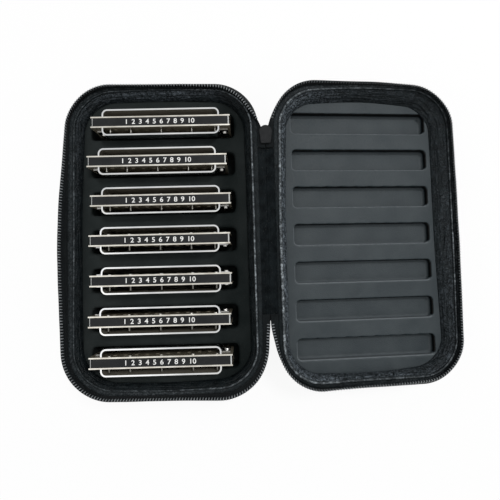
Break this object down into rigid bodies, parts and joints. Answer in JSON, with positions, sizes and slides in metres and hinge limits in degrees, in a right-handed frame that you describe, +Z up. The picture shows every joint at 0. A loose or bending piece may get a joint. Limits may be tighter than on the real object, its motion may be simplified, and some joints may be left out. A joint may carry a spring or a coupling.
{
  "type": "harmonica case",
  "caption": "Soft-shell zip case lying open: a deep tray with foam slots holding diatonic harmonicas on edge, a fabric hinge strip, and a shallow lid with matching recesses.",
  "frame": {"origin": "middle of the tray's flat base face, which rests on the table", "axes": "+X from the tray across the hinge to the lid, +Y along the hinge, +Z up"},
  "size_m": [0.2982, 0.2321, 0.0383],
  "materials": {
    "shell": "matte",
    "tray_foam": "matte",
    "tray_lining": "satin",
    "lid_foam": "matte",
    "lid_lining": "satin",
    "binding": "satin",
    "zip_tape": "matte",
    "zip_coil": "satin",
    "spine": "satin",
    "slider": "satin",
    "comb": "satin",
    "reed_plate": "satin",
    "cover": "polished",
    "screw": "polished"
  },
  "bodies": {
    "tray": {"tray_shell": "shell", "tray_foam_base": "tray_foam", "tray_foam_insert": "tray_foam", "tray_side_lining": "tray_lining", "tray_rim_binding": "binding", "tray_zip_tape": "zip_tape", "tray_zip_coil": "zip_coil"},
    "spine": {"hinge_spine": "spine", "zip_chain_end": "zip_tape"},
    "lid": {"lid_shell": "shell", "lid_foam_base": "lid_foam", "lid_foam_insert": "lid_foam", "lid_side_lining": "lid_lining", "lid_rim_binding": "binding", "lid_zip_tape": "zip_tape", "lid_zip_coil": "zip_coil"},
    "slider": {"zip_slider": "slider"},
    "pull": {"zip_pull": "slider"},
    "harmonica_1": {"harmonica_1_comb": "comb", "harmonica_1_upper_reed_plate": "reed_plate", "harmonica_1_lower_reed_plate": "reed_plate", "harmonica_1_upper_cover": "cover", "harmonica_1_lower_cover": "cover", "harmonica_1_screws": "screw"},
    "harmonica_2": {"harmonica_2_comb": "comb", "harmonica_2_upper_reed_plate": "reed_plate", "harmonica_2_lower_reed_plate": "reed_plate", "harmonica_2_upper_cover": "cover", "harmonica_2_lower_cover": "cover", "harmonica_2_screws": "screw"},
    "harmonica_3": {"harmonica_3_comb": "comb", "harmonica_3_upper_reed_plate": "reed_plate", "harmonica_3_lower_reed_plate": "reed_plate", "harmonica_3_upper_cover": "cover", "harmonica_3_lower_cover": "cover", "harmonica_3_screws": "screw"},
    "harmonica_4": {"harmonica_4_comb": "comb", "harmonica_4_upper_reed_plate": "reed_plate", "harmonica_4_lower_reed_plate": "reed_plate", "harmonica_4_upper_cover": "cover", "harmonica_4_lower_cover": "cover", "harmonica_4_screws": "screw"},
    "harmonica_5": {"harmonica_5_comb": "comb", "harmonica_5_upper_reed_plate": "reed_plate", "harmonica_5_lower_reed_plate": "reed_plate", "harmonica_5_upper_cover": "cover", "harmonica_5_lower_cover": "cover", "harmonica_5_screws": "screw"},
    "harmonica_6": {"harmonica_6_comb": "comb", "harmonica_6_upper_reed_plate": "reed_plate", "harmonica_6_lower_reed_plate": "reed_plate", "harmonica_6_upper_cover": "cover", "harmonica_6_lower_cover": "cover", "harmonica_6_screws": "screw"},
    "harmonica_7": {"harmonica_7_comb": "comb", "harmonica_7_upper_reed_plate": "reed_plate", "harmonica_7_lower_reed_plate": "reed_plate", "harmonica_7_upper_cover": "cover", "harmonica_7_lower_cover": "cover", "harmonica_7_screws": "screw"}
  },
  "joints": [
    {"name": "spine_fold", "type": "hinge", "parent": "tray", "child": "spine", "pos_m": [0.07025, 0, 0.033], "axis": [0, 1, 0], "range_deg": [-90, 0]},
    {"name": "lid_fold", "type": "hinge", "parent": "spine", "child": "lid", "pos_m": [0.08125, 0, 0.033], "axis": [0, 1, 0], "range_deg": [-93.98, 0]},
    {"name": "slider_slide", "type": "slide", "parent": "spine", "child": "slider", "axis": [0, 1, 0], "range_m": [0, 0.0055]},
    {"name": "pull_swing", "type": "hinge", "parent": "slider", "child": "pull", "pos_m": [0.07575, 0.07445, 0.02765], "axis": [1, 0, 0], "range_deg": [-80, 80]},
    {"name": "harmonica_1_lift", "type": "slide", "parent": "tray", "child": "harmonica_1", "axis": [0, 0, 1], "range_m": [0, 0.0155]},
    {"name": "harmonica_2_lift", "type": "slide", "parent": "tray", "child": "harmonica_2", "axis": [0, 0, 1], "range_m": [0, 0.0155]},
    {"name": "harmonica_3_lift", "type": "slide", "parent": "tray", "child": "harmonica_3", "axis": [0, 0, 1], "range_m": [0, 0.0155]},
    {"name": "harmonica_4_lift", "type": "slide", "parent": "tray", "child": "harmonica_4", "axis": [0, 0, 1], "range_m": [0, 0.0155]},
    {"name": "harmonica_5_lift", "type": "slide", "parent": "tray", "child": "harmonica_5", "axis": [0, 0, 1], "range_m": [0, 0.0155]},
    {"name": "harmonica_6_lift", "type": "slide", "parent": "tray", "child": "harmonica_6", "axis": [0, 0, 1], "range_m": [0, 0.0155]},
    {"name": "harmonica_7_lift", "type": "slide", "parent": "tray", "child": "harmonica_7", "axis": [0, 0, 1], "range_m": [0, 0.0155]}
  ],
  "couplings": [
    {"joint": "lid_fold", "follows": "spine_fold", "ratio": 1.0442}
  ]
}
